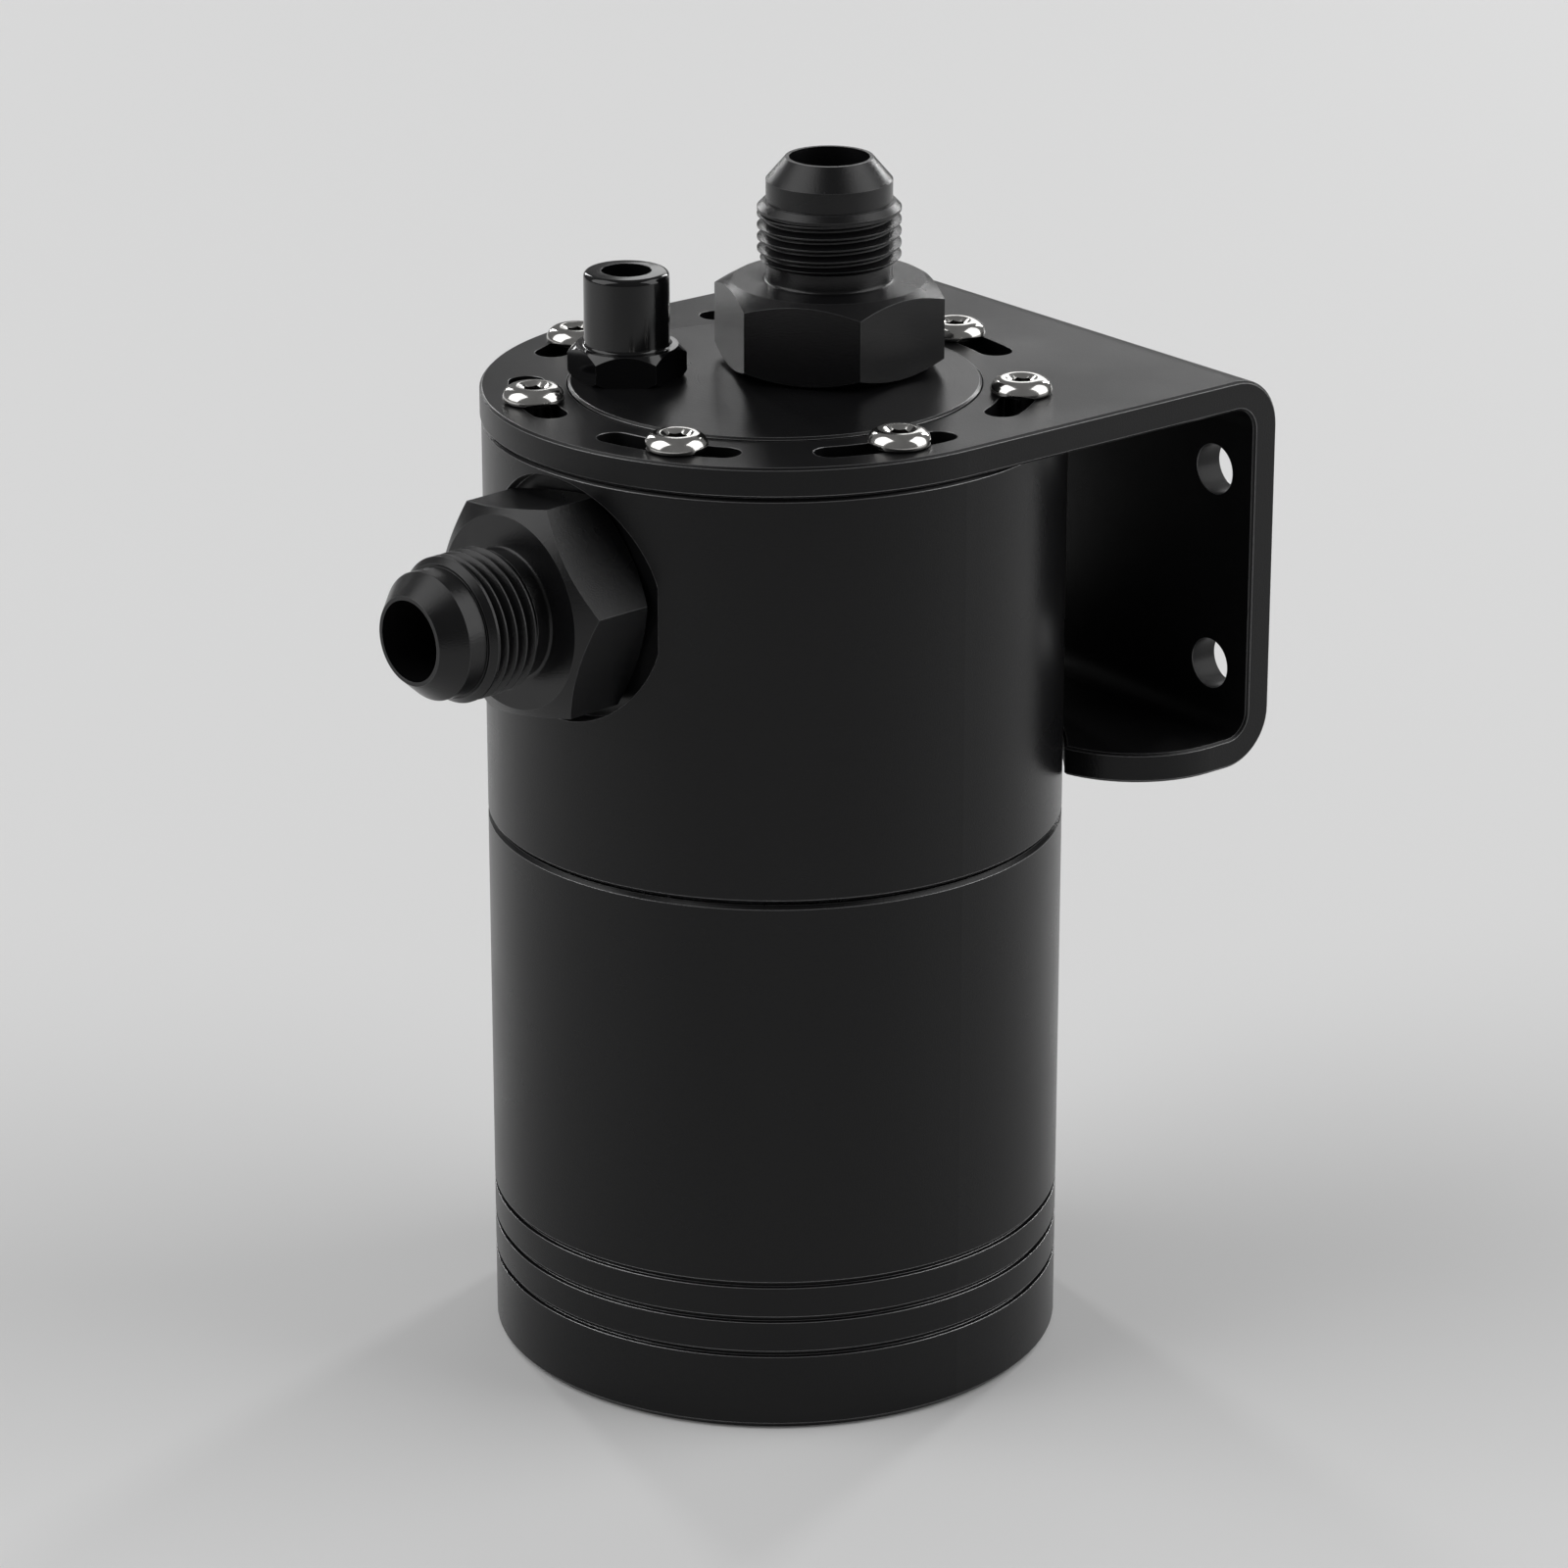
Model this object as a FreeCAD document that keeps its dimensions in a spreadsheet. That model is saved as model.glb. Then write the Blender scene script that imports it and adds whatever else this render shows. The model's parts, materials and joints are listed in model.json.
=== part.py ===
import FreeCAD, Part
import Sketcher
import math
import os
import re

# Oil catch can: a two-part round can hung from a bent plate bracket.
# Millimetres. The origin is the centre of the can's flat bottom, +Z up, and the
# bracket's mounting face looks along +Y.

SIZES = {
    # Can: bowl below the seam, head above it, whose raised boss carries the fittings
    "boss_radius": 31.7,
    "boss_height": 5.25,
    "boss_chamfer": 0.35,
    "rim_width": 13.3,
    "rim_chamfer": 0.6,
    "seam_height": 87.1,
    "seam_gap": 0.3,
    "seam_chamfer": 0.6,
    "head_height": 64.0,
    "roof_thickness": 13.5,
    "chamber_wall": 11.0,
    "shoulder_wall": 5.5,
    "shoulder_rise": 8.9,
    # Bowl
    "bowl_wall": 7.5,
    "bowl_floor": 6.0,
    "bowl_corner": 5.0,
    "foot_chamfer": 1.0,
    "grip_top": 25.0,
    "grip_pitch": 5.85,
    "grip_width": 1.0,
    "grip_depth": 0.8,
    # Screwed joint between bowl and head, with its O-ring
    "neck_step": 3.0,
    "neck_height": 14.0,
    "neck_chamfer": 0.8,
    "neck_play": 0.1,
    "seal_offset": 1.6,
    "seal_groove_width": 2.5,
    "seal_section": 0.95,
    # Bracket, bent from one plate
    "plate_gauge": 4.75,
    "plate_overhang": 0.2,
    "boss_clearance": 0.2,
    "leg_standoff": 18.2,
    "leg_drop": 63.05,
    "bend_inner": 3.75,
    "saddle_gap": 0.3,
    "flange_corner": 18.1,
    "flange_depth": 30.7,
    "bracket_chamfer": 0.4,
    "slot_inset": 7.0,
    "slot_play": 0.25,
    "slot_sweep": 27.1,
    "fixing_radius": 4.0,
    "fixing_inset": 8.7,
    "fixing_up": 31.9,
    "fixing_drop": 32.75,
    # Screws that hold the head to the bracket, and the can's turn in the slots
    "clock_angle": 2.66,
    "tap_runout": 2.25,
    "thread_play": 0.05,
    "bracket_screw_head": 4.75,
    "bracket_screw_rise": 2.45,
    "bracket_screw_rim": 0.55,
    "bracket_screw_shank": 2.5,
    "bracket_screw_reach": 14.0,
    "bracket_screw_key": 3.0,
    "bracket_screw_socket": 1.6,
    # Side port in the head
    "port_angle": 4.24,
    "spot_depth": 3.9,
    "spot_clearance": 0.67,
    "spot_land": 1.0,
    "port_boss_radius": 14.5,
    "port_boss_length": 16.1,
    # Flare fitting, used on the top and on the side
    "flare_bore": 6.2,
    "flare_hex_flats": 31.75,
    "flare_hex_bevel": 0.975,
    "flare_hex_height": 13.4,
    "flare_stem": 11.5,
    "flare_stem_chamfer": 1.0,
    "flare_undercut_depth": 1.45,
    "flare_undercut_length": 3.0,
    "flare_thread_radius": 11.1,
    "flare_fillet": 0.55,
    "flare_neck_length": 3.0,
    "flare_thread_length": 9.4,
    "flare_thread_chamfer": 0.9,
    "flare_thread_depth": 1.35,
    "flare_land_length": 3.35,
    "flare_cone_length": 3.45,
    "flare_tip_radius": 6.8,
    "flare_seal_section": 1.42,
    "pocket_play": 0.11,
    "pocket_slack": 0.06,
    "top_port_inset": 19.79,
    "top_port_angle": 96.41,
    "top_hex_angle": 35.45,
    "side_hex_angle": 38.5,
    # Plain nipple beside the top fitting
    "stub_inset": 9.0,
    "stub_angle": 226.14,
    "stub_bore": 3.85,
    "stub_tube_radius": 6.6,
    "stub_height": 16.5,
    "stub_edge": 0.9,
    "stub_root": 0.5,
    "stub_hex_flats": 15.875,
    "stub_hex_bevel": 0.04,
    "stub_hex_height": 4.9,
    "stub_hex_chamfer": 1.3,
    "stub_hex_angle": 50.75,
    "stub_stem": 10.0,
    "stub_stem_chamfer": 0.7,
    "stub_thread_radius": 6.0,
    "stub_undercut_depth": 0.8,
    "stub_undercut_length": 2.0,
    "stub_seal_section": 0.8,
    "stub_drill_runout": 1.5,
    # Mesh filter under the top port
    "collar_radius": 14.0,
    "collar_depth": 5.0,
    "collar_end_gap": 0.3,
    "collar_bore": 9.0,
    "collar_lip": 2.5,
    "collar_flange_thickness": 2.5,
    "screen_radius": 12.0,
    "screen_wall": 0.8,
    "screen_overlap": 2.5,
    "screen_hole_radius": 1.1,
    "cap_wall": 1.2,
    "cap_thickness": 1.5,
    "cap_clearance": 3.6,
    # Splash plate over the bowl
    "baffle_play": 0.3,
    "baffle_thickness": 1.5,
    "baffle_centre_radius": 5.0,
    "drain_radius": 3.2,
    "drain_inset": 7.0,
    "baffle_screw_angle": 90.0,
    "baffle_screw_head": 2.25,
    "baffle_screw_rise": 1.4,
    "baffle_screw_rim": 0.3,
    "baffle_screw_shank": 1.25,
    "baffle_screw_reach": 7.0,
    "baffle_screw_key": 1.5,
    "baffle_screw_socket": 0.8,
    # Sheet that turns the side inlet's stream downwards
    "deflector_gauge": 1.2,
    "deflector_half_width": 12.0,
    "deflector_standoff": 5.0,
    "deflector_tab": 9.5,
    "deflector_clearance": 4.1,
    "deflector_bend": 2.0,
    "deflector_screw_across": 14.0,
    "deflector_screw_in": 6.0,
    "deflector_screw_head": 2.75,
    "deflector_screw_rise": 1.65,
    "deflector_screw_rim": 0.3,
    "deflector_screw_shank": 1.5,
    "deflector_screw_reach": 6.0,
    "deflector_screw_key": 2.0,
    "deflector_screw_socket": 1.0,
}

# Heights and distances that follow from the sizes
RULES = {
    "can_radius": "(boss_radius + rim_width)",
    "housing_top": "(seam_height + head_height)",
    "boss_top": "(housing_top + boss_height)",
    "ceiling": "(housing_top - roof_thickness)",
    "skirt_bottom": "(seam_height + seam_gap)",
    "neck_radius": "(can_radius - neck_step)",
    "neck_top": "(seam_height + neck_height)",
    "skirt_bore": "(neck_radius + neck_play)",
    "skirt_top": "(neck_top + seam_gap)",
    "shoulder_height": "(neck_top + shoulder_rise)",
    "housing_bore": "(can_radius - shoulder_wall)",
    "chamber_radius": "(can_radius - chamber_wall)",
    "bowl_bore": "(can_radius - bowl_wall)",
    "groove_low": "(seam_height + seal_offset)",
    "groove_high": "(groove_low + seal_groove_width)",
    "groove_floor": "(skirt_bore - neck_play - 2 * seal_section)",
    "plate_top": "(housing_top + plate_gauge)",
    "bracket_half_width": "(can_radius + plate_overhang)",
    "bracket_bore": "(boss_radius + boss_clearance)",
    "bend_outer": "(bend_inner + plate_gauge)",
    "leg_face": "(can_radius + leg_standoff)",
    "leg_inner": "(leg_face - plate_gauge)",
    "bend_start": "(leg_face - bend_outer)",
    "flange_underside": "(plate_top - leg_drop)",
    "flange_top": "(flange_underside + plate_gauge)",
    "saddle_radius": "(can_radius + saddle_gap)",
    "corner_across": "(bracket_half_width - flange_corner)",
    "corner_along": "(leg_face - flange_depth + flange_corner)",
    "corner_reach": "sqrt(corner_across ^ 2 + corner_along ^ 2)",
    "tip_inward": "((corner_reach ^ 2 + saddle_radius ^ 2 - flange_corner ^ 2) / (2 * corner_reach))",
    "tip_aside": "sqrt(saddle_radius ^ 2 - tip_inward ^ 2)",
    "tip_across": "((tip_inward * corner_across + tip_aside * corner_along) / corner_reach)",
    "tip_along": "((tip_inward * corner_along - tip_aside * corner_across) / corner_reach)",
    "slot_circle": "(can_radius - slot_inset)",
    "slot_half_width": "(bracket_screw_shank + slot_play)",
    "fixing_out": "(bracket_half_width - fixing_inset)",
    "fixing_height": "(plate_top - fixing_drop)",
    "tapped_depth": "(bracket_screw_reach - plate_gauge + tap_runout)",
    "flare_hex_corner": "(flare_hex_flats / 2 / cos(30))",
    "flare_hex_face": "(flare_hex_flats / 2 - flare_hex_bevel)",
    "flare_hex_rise": "((flare_hex_corner - flare_hex_face) * tan(30))",
    "flare_hex_top": "(flare_stem + flare_hex_height)",
    "flare_undercut_radius": "(flare_thread_radius - flare_undercut_depth)",
    "flare_land_radius": "(flare_thread_radius - flare_thread_depth)",
    "flare_thread_low": "(flare_hex_top + flare_neck_length)",
    "flare_thread_high": "(flare_thread_low + flare_thread_length)",
    "flare_cone_low": "(flare_thread_high + flare_land_length)",
    "flare_end": "(flare_cone_low + flare_cone_length)",
    "flare_pocket_radius": "(flare_undercut_radius + 2 * flare_seal_section + pocket_play)",
    "flare_pocket_depth": "(2 * flare_seal_section + pocket_slack)",
    "top_port_circle": "(boss_radius - top_port_inset)",
    "top_port_x": "(top_port_circle * cos(top_port_angle))",
    "top_port_y": "(top_port_circle * sin(top_port_angle))",
    "spot_radius": "(flare_hex_corner + spot_clearance)",
    "spot_distance": "(can_radius - spot_depth)",
    "port_azimuth": "(port_angle - 90)",
    "port_height": "(housing_top - spot_radius - spot_land)",
    "port_boss_distance": "(spot_distance - port_boss_length)",
    "stub_x": "((boss_radius - stub_inset) * cos(stub_angle))",
    "stub_y": "((boss_radius - stub_inset) * sin(stub_angle))",
    "stub_hex_corner": "(stub_hex_flats / 2 / cos(30))",
    "stub_hex_face": "(stub_hex_flats / 2 - stub_hex_bevel)",
    "stub_hex_top": "(stub_stem + stub_hex_height)",
    "stub_end": "(stub_stem + stub_height)",
    "stub_undercut_radius": "(stub_thread_radius - stub_undercut_depth)",
    "stub_pocket_radius": "(stub_undercut_radius + 2 * stub_seal_section + pocket_play)",
    "stub_pocket_depth": "(2 * stub_seal_section + pocket_slack)",
    "stub_drill_depth": "(stub_stem + stub_drill_runout)",
    "collar_top": "(ceiling + collar_depth)",
    "collar_low": "(ceiling - collar_flange_thickness)",
    "collar_flange_radius": "(collar_radius + collar_lip)",
    "screen_low": "(shoulder_height + cap_clearance + cap_thickness)",
    "cap_radius": "(screen_radius + cap_wall)",
    "baffle_low": "(shoulder_height - baffle_thickness)",
    "baffle_screw_circle": "((chamber_radius + housing_bore) / 2)",
    "drain_circle": "(chamber_radius - drain_inset)",
    "deflector_face": "(port_boss_distance - deflector_standoff)",
    "deflector_end": "(shoulder_height + deflector_clearance)",
    "tongue_face": "(deflector_face + deflector_gauge)",
    "tongue_bend": "(deflector_bend + deflector_gauge)",
    "tab_low": "(ceiling - deflector_gauge)",
    "tab_screw_along": "(deflector_face - deflector_screw_in)",
    "deflector_angle": "(port_azimuth - 90)",
}

SCREW_COUNT = 7
GRIP_COUNT = 3
BAFFLE_HOLES = 10
BAFFLE_SCREWS = 3
SCREEN_ROWS = 4
SCREEN_HOLES = 8
EPSILON = 0.0001
POINT_SHARE = 0.7
HEX_OVERCUT = 1.1

doc = FreeCAD.newDocument("OilCatchCan")
sheet = doc.addObject("Spreadsheet::Sheet", "Sizes")
for row, (alias, value) in enumerate(SIZES.items(), start=1):
    sheet.set(f"A{row}", alias)
    sheet.set(f"B{row}", str(value))
    sheet.setAlias(f"B{row}", alias)
doc.recompute()


def bound(text):
    """Turn a rule written in plain size names into an expression on the sheet."""

    def swap(match):
        word = match.group()
        if word in RULES:
            return bound(RULES[word])
        return "Sizes." + word if word in SIZES else word

    return re.sub(r"[a-z_]+", swap, str(text))


def number(text):
    return float(sheet.evalExpression(bound(text)))


def bind(item, **rules):
    for name, text in rules.items():
        item.setExpression(name, bound(text))


def place(item, x="0", y="0", z="0", turns=()):
    """Bind a position and turns, each an axis letter and an angle, last one first."""
    axes = {"x": "vector(1; 0; 0)", "y": "vector(0; 1; 0)", "z": "vector(0; 0; 1)"}
    spins = [f"rotation({axes[axis]}; {bound(angle)})" for axis, angle in turns or [("z", "0")]]
    spot = f"vector({bound(x)}; {bound(y)}; {bound(z)})"
    item.setExpression("Placement", f"placement({spot}; {' * '.join(spins)})")


def datum(body, role):
    return next(item for item in body.Origin.OriginFeatures if item.Role == role)


def new_body(name):
    body = doc.addObject("PartDesign::Body", name)
    body.Label = name
    return body


def draw_outline(sketch, corners):
    """Draw a closed outline from corners (across, up).

    A corner (across, up, radius, side) is reached by an arc, whose centre lies to
    the left of the way there where side is 1, and to the right where it is -1.
    """
    spots = [FreeCAD.Vector(number(corner[0]), number(corner[1]), 0) for corner in corners]
    ends = []
    for index, corner in enumerate(corners):
        start, finish = spots[index - 1], spots[index]
        if len(corner) == 2:
            sketch.addGeometry(Part.LineSegment(start, finish), False)
            ends.append((1, 2))
            continue
        radius, side = number(corner[2]), corner[3]
        along = (finish - start).normalize()
        right = FreeCAD.Vector(along.y, -along.x, 0)
        half = start.distanceToPoint(finish) / 2
        bulge = radius - math.sqrt(max(radius ** 2 - half ** 2, 0))
        middle = (start + finish) / 2 + right * side * bulge
        sketch.addGeometry(Part.Arc(start, middle, finish), False)
        ends.append((1, 2) if side > 0 else (2, 1))
    for index, corner in enumerate(corners):
        after = (index + 1) % len(corners)
        finish = ends[index][1]
        joint = Sketcher.Constraint("Coincident", index, finish, after, ends[after][0])
        sketch.addConstraint(joint)
        for kind, axis, text in (("DistanceX", -2, corner[0]), ("DistanceY", -1, corner[1])):
            if text == "0":
                sketch.addConstraint(Sketcher.Constraint("PointOnObject", index, finish, axis))
                continue
            rule = Sketcher.Constraint(kind, -1, 1, index, finish, number(text))
            bind(sketch, **{f"Constraints[{sketch.addConstraint(rule)}]": text})
        if len(corner) == 4:
            rule = Sketcher.Constraint("Radius", index, number(corner[2]))
            bind(sketch, **{f"Constraints[{sketch.addConstraint(rule)}]": corner[2]})


def outline(body, name, plane, corners):
    sketch = body.newObject("Sketcher::SketchObject", name)
    sketch.AttachmentSupport = (datum(body, plane), [""])
    sketch.MapMode = "FlatFace"
    draw_outline(sketch, corners)
    return sketch


def turned(body, name, corners):
    """Revolve an outline of radius and height about the body's own Z axis."""
    solid = body.newObject("PartDesign::Revolution", name)
    solid.Profile = outline(body, name + "_profile", "XZ_Plane", corners)
    solid.ReferenceAxis = (solid.Profile[0], ["V_Axis"])
    solid.Angle = 360
    body.Tip = solid
    return solid


def bore(body, name, radius, depth, x="0", y="0", z="0", turns=()):
    """Cut a round hole that runs along +Z from its place, before its turns."""
    hole = body.newObject("PartDesign::SubtractiveCylinder", name)
    bind(hole, Radius=radius, Height=depth)
    place(hole, x, y, z, turns)
    body.Tip = hole
    return hole


def repeat_round(body, name, features, count):
    """Repeat features evenly round the body's Z axis."""
    pattern = body.newObject("PartDesign::PolarPattern", name)
    pattern.Originals = features
    pattern.Axis = (datum(body, "Z_Axis"), [""])
    pattern.Angle = 360
    pattern.Occurrences = count
    body.Tip = pattern
    return pattern


def break_edges(body, name, feature, wanted, size):
    """Chamfer the edges of a feature that a test picks."""
    doc.recompute()
    edges = [f"Edge{index}" for index, edge in enumerate(feature.Shape.Edges, start=1)
             if wanted(edge)]
    chamfer = body.newObject("PartDesign::Chamfer", name)
    chamfer.Base = (feature, edges)
    bind(chamfer, Size=size)
    body.Tip = chamfer


def ring(name, radius, section):
    """O-ring, centred on its own origin."""
    torus = doc.addObject("Part::Torus", name)
    torus.Label = name
    bind(torus, Radius1=radius, Radius2=section)
    return torus


def button_screw(name, family):
    """Button head socket screw standing on its point, with its seat one reach up."""
    size = {part: f"{family}_{part}" for part in
            ("head", "rise", "rim", "shank", "reach", "key", "socket")}
    seat, top = size["reach"], f"({size['reach']} + {size['rise']})"
    shoulder = f"({size['rise']} - {size['rim']})"
    body = new_body(name)
    turned(body, name + "_turned", [
        ("0", "0"),
        (f"{POINT_SHARE} * {size['shank']}", "0"),
        (size["shank"], f"(1 - {POINT_SHARE}) * {size['shank']}"),
        (size["shank"], seat),
        (f"{size['head']} - {size['rim']}", seat),
        (size["head"], f"{seat} + {size['rim']}", size["rim"], 1),
        (f"{size['head']} - {shoulder}", top, shoulder, 1),
        ("0", top),
    ])
    socket = body.newObject("PartDesign::SubtractivePrism", name + "_socket")
    socket.Polygon = 6
    bind(socket, Circumradius=f"{size['key']} / 2 / cos(30)", Height=size["socket"])
    place(socket, z=f"{top} - {size['socket']}")
    body.Tip = socket
    return body


def hexagon(name, corner, face, rise, height, start):
    """Hex with both ends chamfered: a prism cut down to a turned blank."""
    prism = doc.addObject("Part::Prism", name + "_prism")
    prism.Polygon = 6
    bind(prism, Circumradius=corner, Height=height)
    place(prism, z=start)
    over = f"{face} + {HEX_OVERCUT} * ({corner} - {face})"
    blank = new_body(name + "_blank")
    turned(blank, name + "_blank_turned", [
        ("0", start),
        (face, start),
        (over, f"{start} + {HEX_OVERCUT} * {rise}"),
        (over, f"{start} + {height} - {HEX_OVERCUT} * {rise}"),
        (face, f"{start} + {height}"),
        ("0", f"{start} + {height}"),
    ])
    hexed = doc.addObject("Part::Common", name)
    hexed.Base = prism
    hexed.Tool = blank
    return hexed


def on_bracket_rim(edge):
    """True for an edge of the bracket's outline, on either face of the plate."""
    half, gauge = number("bracket_half_width"), number("plate_gauge")
    middle = edge.valueAt((edge.FirstParameter + edge.LastParameter) / 2)
    beside = abs(abs(middle.x) - half) < EPSILON
    round_end = middle.y < 0 and abs(math.hypot(middle.x, middle.y) - half) < EPSILON
    flange = any(abs(middle.z - number(level)) < EPSILON
                 for level in ("flange_underside", "flange_top"))
    across = abs(edge.Length - gauge) < EPSILON
    return (beside or round_end or flange) and not across


def mounting_bracket():
    """Bent plate: a round-ended top with seven slots, a leg and a saddle flange."""
    body = new_body("mounting_bracket")
    disc = body.newObject("PartDesign::AdditiveCylinder", "plate_disc")
    bind(disc, Radius="bracket_half_width", Height="plate_gauge")
    place(disc, z="housing_top")
    flat = body.newObject("PartDesign::AdditiveBox", "plate_flat")
    bind(flat, Length="2 * bracket_half_width", Width="bend_start", Height="plate_gauge")
    place(flat, "-bracket_half_width", "0", "housing_top")
    leg = body.newObject("PartDesign::Pad", "leg_and_bends")
    leg.Profile = outline(body, "leg_section", "YZ_Plane", [
        ("bend_start", "housing_top"),
        ("leg_inner", "housing_top - bend_inner", "bend_inner", -1),
        ("leg_inner", "flange_top + bend_inner"),
        ("bend_start", "flange_top", "bend_inner", -1),
        ("bend_start", "flange_underside"),
        ("leg_face", "flange_underside + bend_outer", "bend_outer", 1),
        ("leg_face", "plate_top - bend_outer"),
        ("bend_start", "plate_top", "bend_outer", 1),
    ])
    leg.Midplane = True
    bind(leg, Length="2 * bracket_half_width")
    saddle = outline(body, "saddle_half", "XY_Plane", [
        ("0", "bend_start"),
        ("bracket_half_width", "bend_start"),
        ("bracket_half_width", "corner_along"),
        ("tip_across", "tip_along", "flange_corner", -1),
        ("0", "saddle_radius", "saddle_radius", 1),
    ])
    bind(saddle, **{"AttachmentOffset.Base.z": "flange_underside"})
    half = body.newObject("PartDesign::Pad", "saddle_right")
    half.Profile = saddle
    bind(half, Length="plate_gauge")
    both = body.newObject("PartDesign::Mirrored", "saddle_both")
    both.Originals = [half]
    both.MirrorPlane = (datum(body, "YZ_Plane"), [""])
    body.Tip = both
    break_edges(body, "rim_edges", both, on_bracket_rim, "bracket_chamfer")
    bore(body, "boss_hole", "bracket_bore", "plate_gauge", z="housing_top")
    slot = body.newObject("PartDesign::Groove", "slot_arc")
    slot.Profile = outline(body, "slot_section", "YZ_Plane", [
        ("slot_circle - slot_half_width", "housing_top"),
        ("slot_circle + slot_half_width", "housing_top"),
        ("slot_circle + slot_half_width", "plate_top"),
        ("slot_circle - slot_half_width", "plate_top"),
    ])
    slot.ReferenceAxis = (datum(body, "Z_Axis"), [""])
    slot.Midplane = True
    bind(slot, Angle="slot_sweep")
    body.Tip = slot
    ends = [
        bore(body, f"slot_end_{hand}", "slot_half_width", "plate_gauge",
             f"{side} * slot_circle * sin(slot_sweep / 2)",
             "slot_circle * cos(slot_sweep / 2)", "housing_top")
        for hand, side in (("left", -1), ("right", 1))
    ]
    repeat_round(body, "slots", [slot] + ends, SCREW_COUNT)
    for level, up in (("lower", -1), ("upper", 1)):
        for hand, side in (("left", -1), ("right", 1)):
            bore(body, f"fixing_{level}_{hand}", "fixing_radius", "plate_gauge",
                 f"{side} * fixing_out", "leg_inner",
                 f"fixing_height + {up} * fixing_up / 2", [("x", "-90")])
    return body


def on_port_axis(distance, spin="0"):
    """Place on the side port's axis, a distance from the can's own, facing outwards."""
    turns = [("z", "port_azimuth"), ("y", "90"), ("z", spin)]
    return f"{distance} * cos(port_azimuth)", f"{distance} * sin(port_azimuth)", "port_height", turns


def upper_housing():
    """Head: roof with a raised boss, chamber, side port boss and threaded skirt."""
    body = new_body("upper_housing")
    turned(body, "housing_turned", [
        ("skirt_bore", "skirt_bottom"),
        ("can_radius - seam_chamfer", "skirt_bottom"),
        ("can_radius", "skirt_bottom + seam_chamfer"),
        ("can_radius", "housing_top - rim_chamfer"),
        ("can_radius - rim_chamfer", "housing_top"),
        ("boss_radius", "housing_top"),
        ("boss_radius", "boss_top - boss_chamfer"),
        ("boss_radius - boss_chamfer", "boss_top"),
        ("0", "boss_top"),
        ("0", "ceiling"),
        ("chamber_radius", "ceiling"),
        ("chamber_radius", "shoulder_height"),
        ("housing_bore", "shoulder_height"),
        ("housing_bore", "skirt_top"),
        ("skirt_bore", "skirt_top"),
    ])
    boss = body.newObject("PartDesign::AdditiveCylinder", "port_boss")
    bind(boss, Radius="port_boss_radius", Height="port_boss_length")
    place(boss, *on_port_axis("port_boss_distance"))
    body.Tip = boss
    bore(body, "spot_face", "spot_radius", "2 * spot_depth", *on_port_axis("spot_distance"))
    bore(body, "side_seal_pocket", "flare_pocket_radius", "flare_pocket_depth",
         *on_port_axis("(spot_distance - flare_pocket_depth)"))
    bore(body, "side_port", "flare_thread_radius + thread_play", "port_boss_length",
         *on_port_axis("port_boss_distance"))
    bore(body, "top_port", "flare_thread_radius + thread_play", "boss_top - ceiling",
         "top_port_x", "top_port_y", "ceiling")
    bore(body, "top_seal_pocket", "flare_pocket_radius", "flare_pocket_depth",
         "top_port_x", "top_port_y", "boss_top - flare_pocket_depth")
    bore(body, "collar_thread", "collar_radius + thread_play", "collar_depth",
         "top_port_x", "top_port_y", "ceiling")
    bore(body, "stub_passage", "stub_bore", "boss_top - ceiling", "stub_x", "stub_y", "ceiling")
    bore(body, "stub_port", "stub_thread_radius + thread_play", "stub_drill_depth",
         "stub_x", "stub_y", "boss_top - stub_drill_depth")
    bore(body, "stub_seal_pocket", "stub_pocket_radius", "stub_pocket_depth",
         "stub_x", "stub_y", "boss_top - stub_pocket_depth")
    tapped = bore(body, "tapped_hole", "bracket_screw_shank + thread_play", "tapped_depth",
                  "slot_circle * cos(90 + clock_angle)", "slot_circle * sin(90 + clock_angle)",
                  "housing_top - tapped_depth")
    repeat_round(body, "tapped_holes", [tapped], SCREW_COUNT)
    baffle_hole = bore(body, "baffle_tapping", "baffle_screw_shank + thread_play",
                       "baffle_screw_reach", "baffle_screw_circle * cos(baffle_screw_angle)",
                       "baffle_screw_circle * sin(baffle_screw_angle)", "shoulder_height")
    repeat_round(body, "baffle_tappings", [baffle_hole], BAFFLE_SCREWS)
    for hand, side in (("left", -1), ("right", 1)):
        x, y = deflector_spot(side)
        bore(body, f"deflector_tapping_{hand}", "deflector_screw_shank + thread_play",
             "deflector_screw_reach", x, y, "ceiling")
    return body


def reservoir():
    """Bowl: grip grooves outside, a plain round bore, and a neck with a seal groove."""
    grips = []
    for index in reversed(range(GRIP_COUNT)):
        high = f"(grip_top - {index} * grip_pitch)"
        low = f"({high} - grip_width)"
        deep = "can_radius - grip_depth"
        grips += [("can_radius", low), (deep, low), (deep, high), ("can_radius", high)]
    body = new_body("reservoir")
    turned(body, "bowl_turned", [
        ("0", "0"),
        ("can_radius - foot_chamfer", "0"),
        ("can_radius", "foot_chamfer"),
        *grips,
        ("can_radius", "seam_height - seam_chamfer"),
        ("can_radius - seam_chamfer", "seam_height"),
        ("neck_radius", "seam_height"),
        ("neck_radius", "groove_low"),
        ("groove_floor", "groove_low"),
        ("groove_floor", "groove_high"),
        ("neck_radius", "groove_high"),
        ("neck_radius", "neck_top - neck_chamfer"),
        ("neck_radius - neck_chamfer", "neck_top"),
        ("bowl_bore", "neck_top"),
        ("bowl_bore", "bowl_floor + bowl_corner"),
        ("bowl_bore - bowl_corner", "bowl_floor", "bowl_corner", -1),
        ("0", "bowl_floor"),
    ])
    return body


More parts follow.
